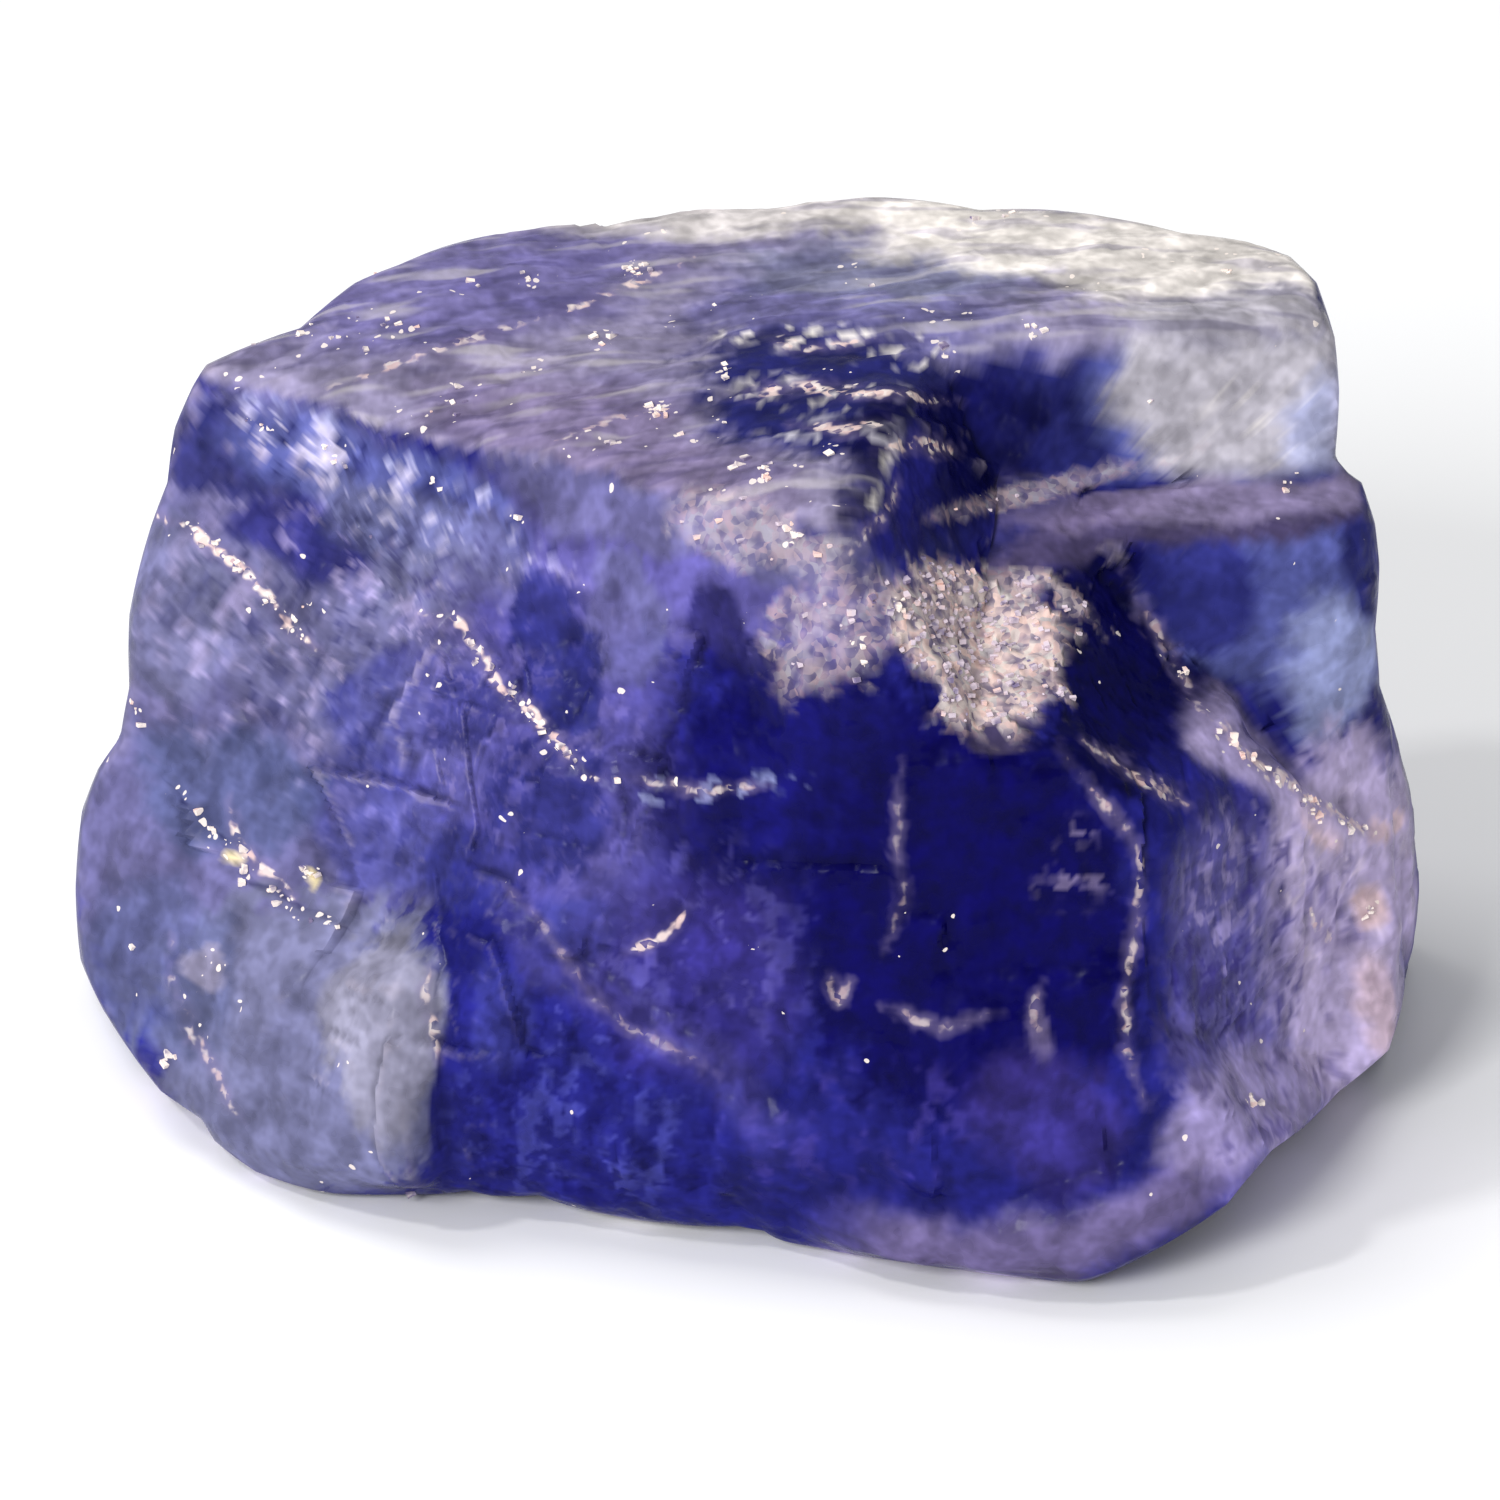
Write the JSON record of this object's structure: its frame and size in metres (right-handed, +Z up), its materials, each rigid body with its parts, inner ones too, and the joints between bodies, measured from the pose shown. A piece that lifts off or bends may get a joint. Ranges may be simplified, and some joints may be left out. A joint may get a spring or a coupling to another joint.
{
  "type": "blue halite specimen",
  "caption": "Broken block of deep blue and lilac rock salt with a stepped ledge at one end, lying on a flat cleavage face.",
  "frame": {"origin": "on the surface that the stone lies on, under the middle of its outline from above", "axes": "+X to the right along the longest side, +Y away from the viewer of the front, +Z up"},
  "size_m": [0.0306, 0.0214, 0.0181],
  "materials": {
    "halite": "rough broken crystal"
  },
  "bodies": {
    "root": {"halite_block": "halite"}
  },
  "joints": []
}
